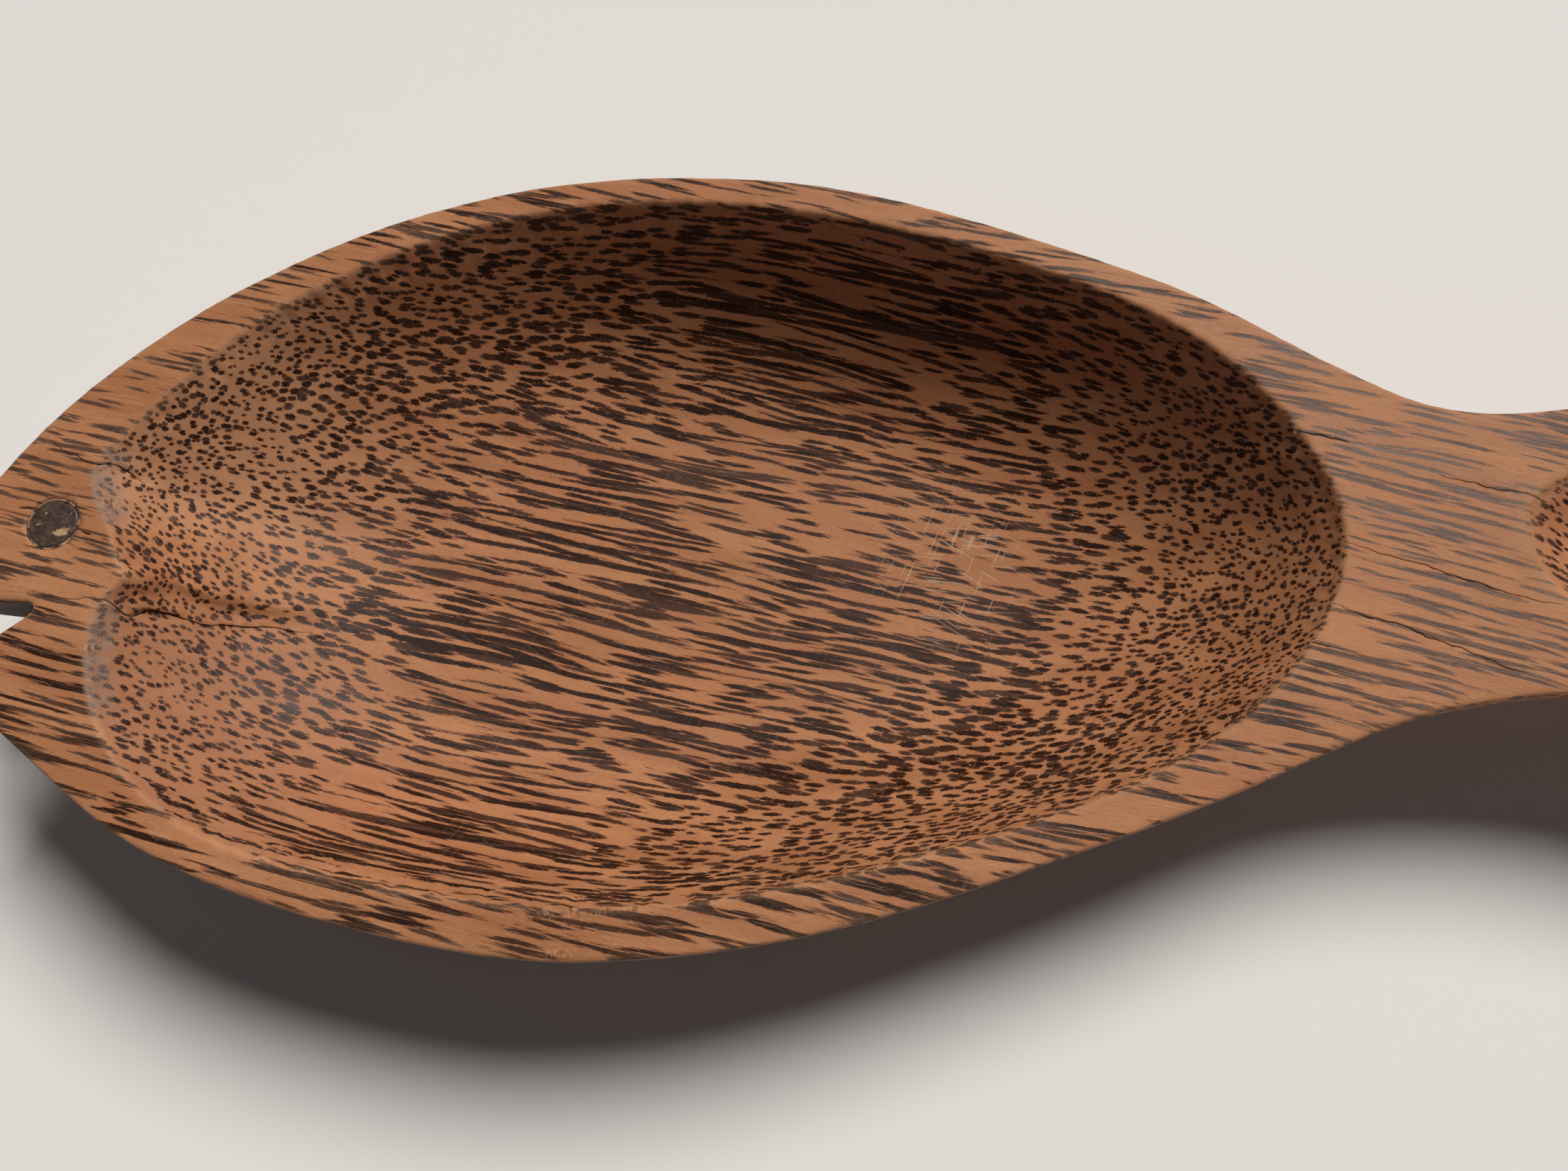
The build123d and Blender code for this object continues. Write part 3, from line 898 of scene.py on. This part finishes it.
def glue_mesh():
    """The ring of glue, closed, with an uneven top a little under the rim."""
    ways, angles = circle(GLUE_SIDES)
    inner, outer = plug_radius(angles) + 0.015, HOLE_RADIUS - 0.02
    low = EYE_LOW[2]
    profile = [(0.0, low), (0.0, RIM - 0.5), (0.0, RIM - 0.14), (0.2, RIM - 0.09), (0.5, RIM - 0.07),
               (0.8, RIM - 0.08), (1.0, RIM - 0.12), (1.0, RIM - 0.5), (1.0, low)]
    rings = []
    for share, level in profile:
        radius = inner + share * (outer - inner)
        plan = EYE + ways * radius[:, None]
        heights = np.full(GLUE_SIDES, level)
        if level > RIM - 0.2:
            heights = heights + 0.05 * ripple(np.column_stack([plan, heights]), 0.5, 30) - 0.02
        rings.append(np.column_stack([plan, heights]))
    faces = []
    count = len(rings)
    for k in range(count):
        a, b = (turn % count * GLUE_SIDES + np.arange(GLUE_SIDES) for turn in (k, k + 1))
        faces.append(np.column_stack([a, np.roll(a, -1), b]))
        faces.append(np.column_stack([np.roll(a, -1), np.roll(b, -1), b]))
    return np.vstack(rings), np.vstack(faces), {}


# ---------------------------------------------------------------- pieces

for node, build, make_material, slot_name in (
    ("dish_body", board_mesh, palm_wood, "palm_wood"),
    ("eye_plug", eye_mesh, eye_wood, "eye_wood"),
    ("eye_glue_line", glue_mesh, glue, "glue"),
):
    vertices, faces, layers = build()
    piece = add_mesh(node + "_look", vertices, faces, make_material(), layers)
    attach(piece, "root")
    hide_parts(node)


# ---------------------------------------------------------------- stage

def add_floor():
    """A plain pale floor."""
    mesh = bpy.data.meshes.new("floor")
    corners = ((-1, -1), (1, -1), (1, 1), (-1, 1))
    points = [(FLOOR_REACH * x, FLOOR_REACH * y, FLOOR_LEVEL) for x, y in corners]
    mesh.from_pydata(points, [], [(0, 1, 2, 3)])
    mesh.materials.append(Shader("floor").finish(rgb(0.78, 0.77, 0.75), roughness=0.85))
    floor = add_object("floor", mesh)


def add_sun(azimuth, elevation, softness, strength, color):
    """A wide soft key light from one direction, the same all over the floor."""
    light = bpy.data.lights.new("key", "SUN")
    light.angle = math.radians(softness)
    light.energy = strength
    light.color = color
    lamp = add_object("key", light)
    around, up = math.radians(azimuth), math.radians(elevation)
    way = Vector((math.cos(around) * math.cos(up), math.sin(around) * math.cos(up), math.sin(up)))
    lamp.location = way
    lamp.rotation_euler = way.to_track_quat("Z", "Y").to_euler()


def add_world():
    """Dim soft light from above, and a pale horizon behind the floor."""
    world = bpy.data.worlds.new("world")
    world.use_nodes = True
    tree = world.node_tree
    place = tree.nodes.new("ShaderNodeTexCoord")
    split = tree.nodes.new("ShaderNodeSeparateXYZ")
    fade = tree.nodes.new("ShaderNodeMapRange")
    fade.interpolation_type = "SMOOTHSTEP"
    for key, value in (("From Min", 0.02), ("From Max", 0.3), ("To Min", 0.55), ("To Max", 0.05)):
        fade.inputs[key].default_value = value
    background = tree.nodes["Background"]
    background.inputs["Color"].default_value = rgb(0.95, 0.96, 1.0)
    tree.links.new(place.outputs["Generated"], split.inputs[0])
    tree.links.new(split.outputs[2], fade.inputs["Value"])
    tree.links.new(fade.outputs[0], background.inputs["Strength"])
    bpy.context.scene.world = world


def add_camera():
    """The camera above the dish, a little in front of it."""
    camera = bpy.data.cameras.new("camera")
    camera.sensor_width = SENSOR_WIDTH
    camera.lens = LENS
    camera.clip_start = 0.01
    view = add_object("camera", camera)
    right = Vector(CAMERA_RIGHT).normalized()
    forward = Vector(CAMERA_FORWARD).normalized()
    up = right.cross(forward).normalized()
    right = forward.cross(up)
    turn = Matrix((right, up, -forward)).transposed().to_4x4()
    view.matrix_world = Matrix.Translation(CAMERA_PLACE) @ turn
    bpy.context.scene.camera = view


add_floor()
add_sun(azimuth=54, elevation=52, softness=26, strength=3.5, color=(1.0, 0.965, 0.92))
add_world()
add_camera()
bpy.context.scene.view_settings.view_transform = "Standard"
